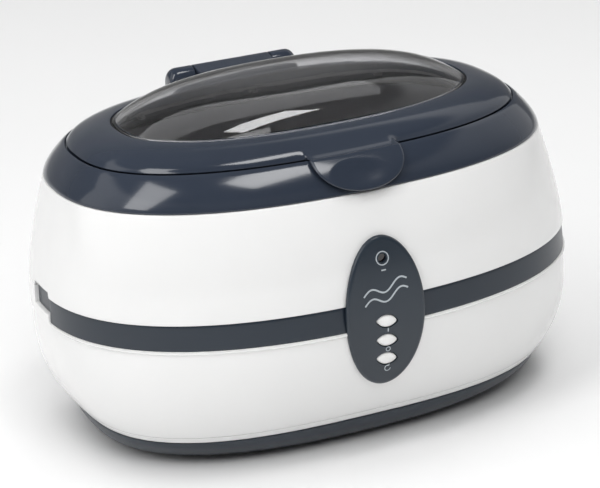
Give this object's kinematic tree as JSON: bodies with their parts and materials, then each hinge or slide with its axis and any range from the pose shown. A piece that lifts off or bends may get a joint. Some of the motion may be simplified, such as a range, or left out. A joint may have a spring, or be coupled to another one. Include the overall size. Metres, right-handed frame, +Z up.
{
  "type": "ultrasonic cleaner",
  "caption": "Household ultrasonic cleaner: oval white housing with a dark band, deck and base, steel tank, hinged lid with domed window, and an oval push-button panel.",
  "frame": {"origin": "on the supporting surface under the middle of the body", "axes": "+X along the body's length, -Y towards the front with the control panel, +Z up"},
  "size_m": [0.2054, 0.1469, 0.1277],
  "materials": {
    "white_shell": "glossy white moulded plastic",
    "slate_shell": "glossy dark slate moulded plastic",
    "slate_trim": "satin dark slate trim",
    "panel": "satin dark slate panel with printed marks",
    "button": "white button caps",
    "window": "smoky clear dome",
    "seal": "black seal",
    "foot": "black rubber feet",
    "stainless": "drawn stainless steel",
    "retainer": "matt black clamping ring",
    "steel": "plated steel",
    "aluminium": "turned or extruded aluminium",
    "ceramic": "silvered piezo ceramic",
    "board": "green circuit board",
    "black_part": "black moulded component",
    "winding": "wound core with tape",
    "fuse": "glass fuse in clips",
    "lamp": "unlit dark lamp lens",
    "lead": "insulated leads"
  },
  "bodies": {
    "base": {"lower_housing": "white_shell", "upper_housing": "white_shell", "base_tray": "slate_shell", "top_deck": "slate_shell", "trim_band": "slate_trim", "control_panel": "panel", "tank_gasket": "seal", "rubber_feet": "foot", "tank": "stainless", "hinge_pin": "steel", "inlet_pins": "steel", "base_screws": "steel", "case_screws": "steel", "deck_screws": "steel", "board_screws": "steel", "control_screws": "steel", "transducer_plate": "aluminium", "heat_sink": "aluminium", "piezo_disc": "ceramic", "driver_board": "board", "control_board": "board", "transistor": "black_part", "tact_switches": "black_part", "capacitors": "black_part", "mains_inlet": "black_part", "transformer": "winding", "choke": "winding", "fuse": "fuse", "power_lamp": "lamp", "mains_leads": "lead", "transducer_leads": "lead", "control_leads": "lead"},
    "lid": {"lid_frame": "slate_shell", "lid_window": "window", "window_gasket": "seal", "window_retainer": "retainer", "retainer_screws": "steel"},
    "on_key": {"on_button": "button"},
    "off_key": {"off_button": "button"},
    "reset_key": {"reset_button": "button"}
  },
  "joints": [
    {"name": "lid_hinge", "type": "hinge", "parent": "base", "child": "lid", "pos_m": [0, 0.057, 0.1141], "axis": [-1, 0, 0], "range_deg": [0, 95]},
    {"name": "on_press", "type": "slide", "parent": "base", "child": "on_key", "axis": [0, 1, 0], "range_m": [0, 0.0008], "stiffness_N_per_m": 1500, "springref_m": -0.0005},
    {"name": "off_press", "type": "slide", "parent": "base", "child": "off_key", "axis": [0, 1, 0], "range_m": [0, 0.0008], "stiffness_N_per_m": 1500, "springref_m": -0.0005},
    {"name": "reset_press", "type": "slide", "parent": "base", "child": "reset_key", "axis": [0, 1, 0], "range_m": [0, 0.0008], "stiffness_N_per_m": 1500, "springref_m": -0.0005}
  ]
}
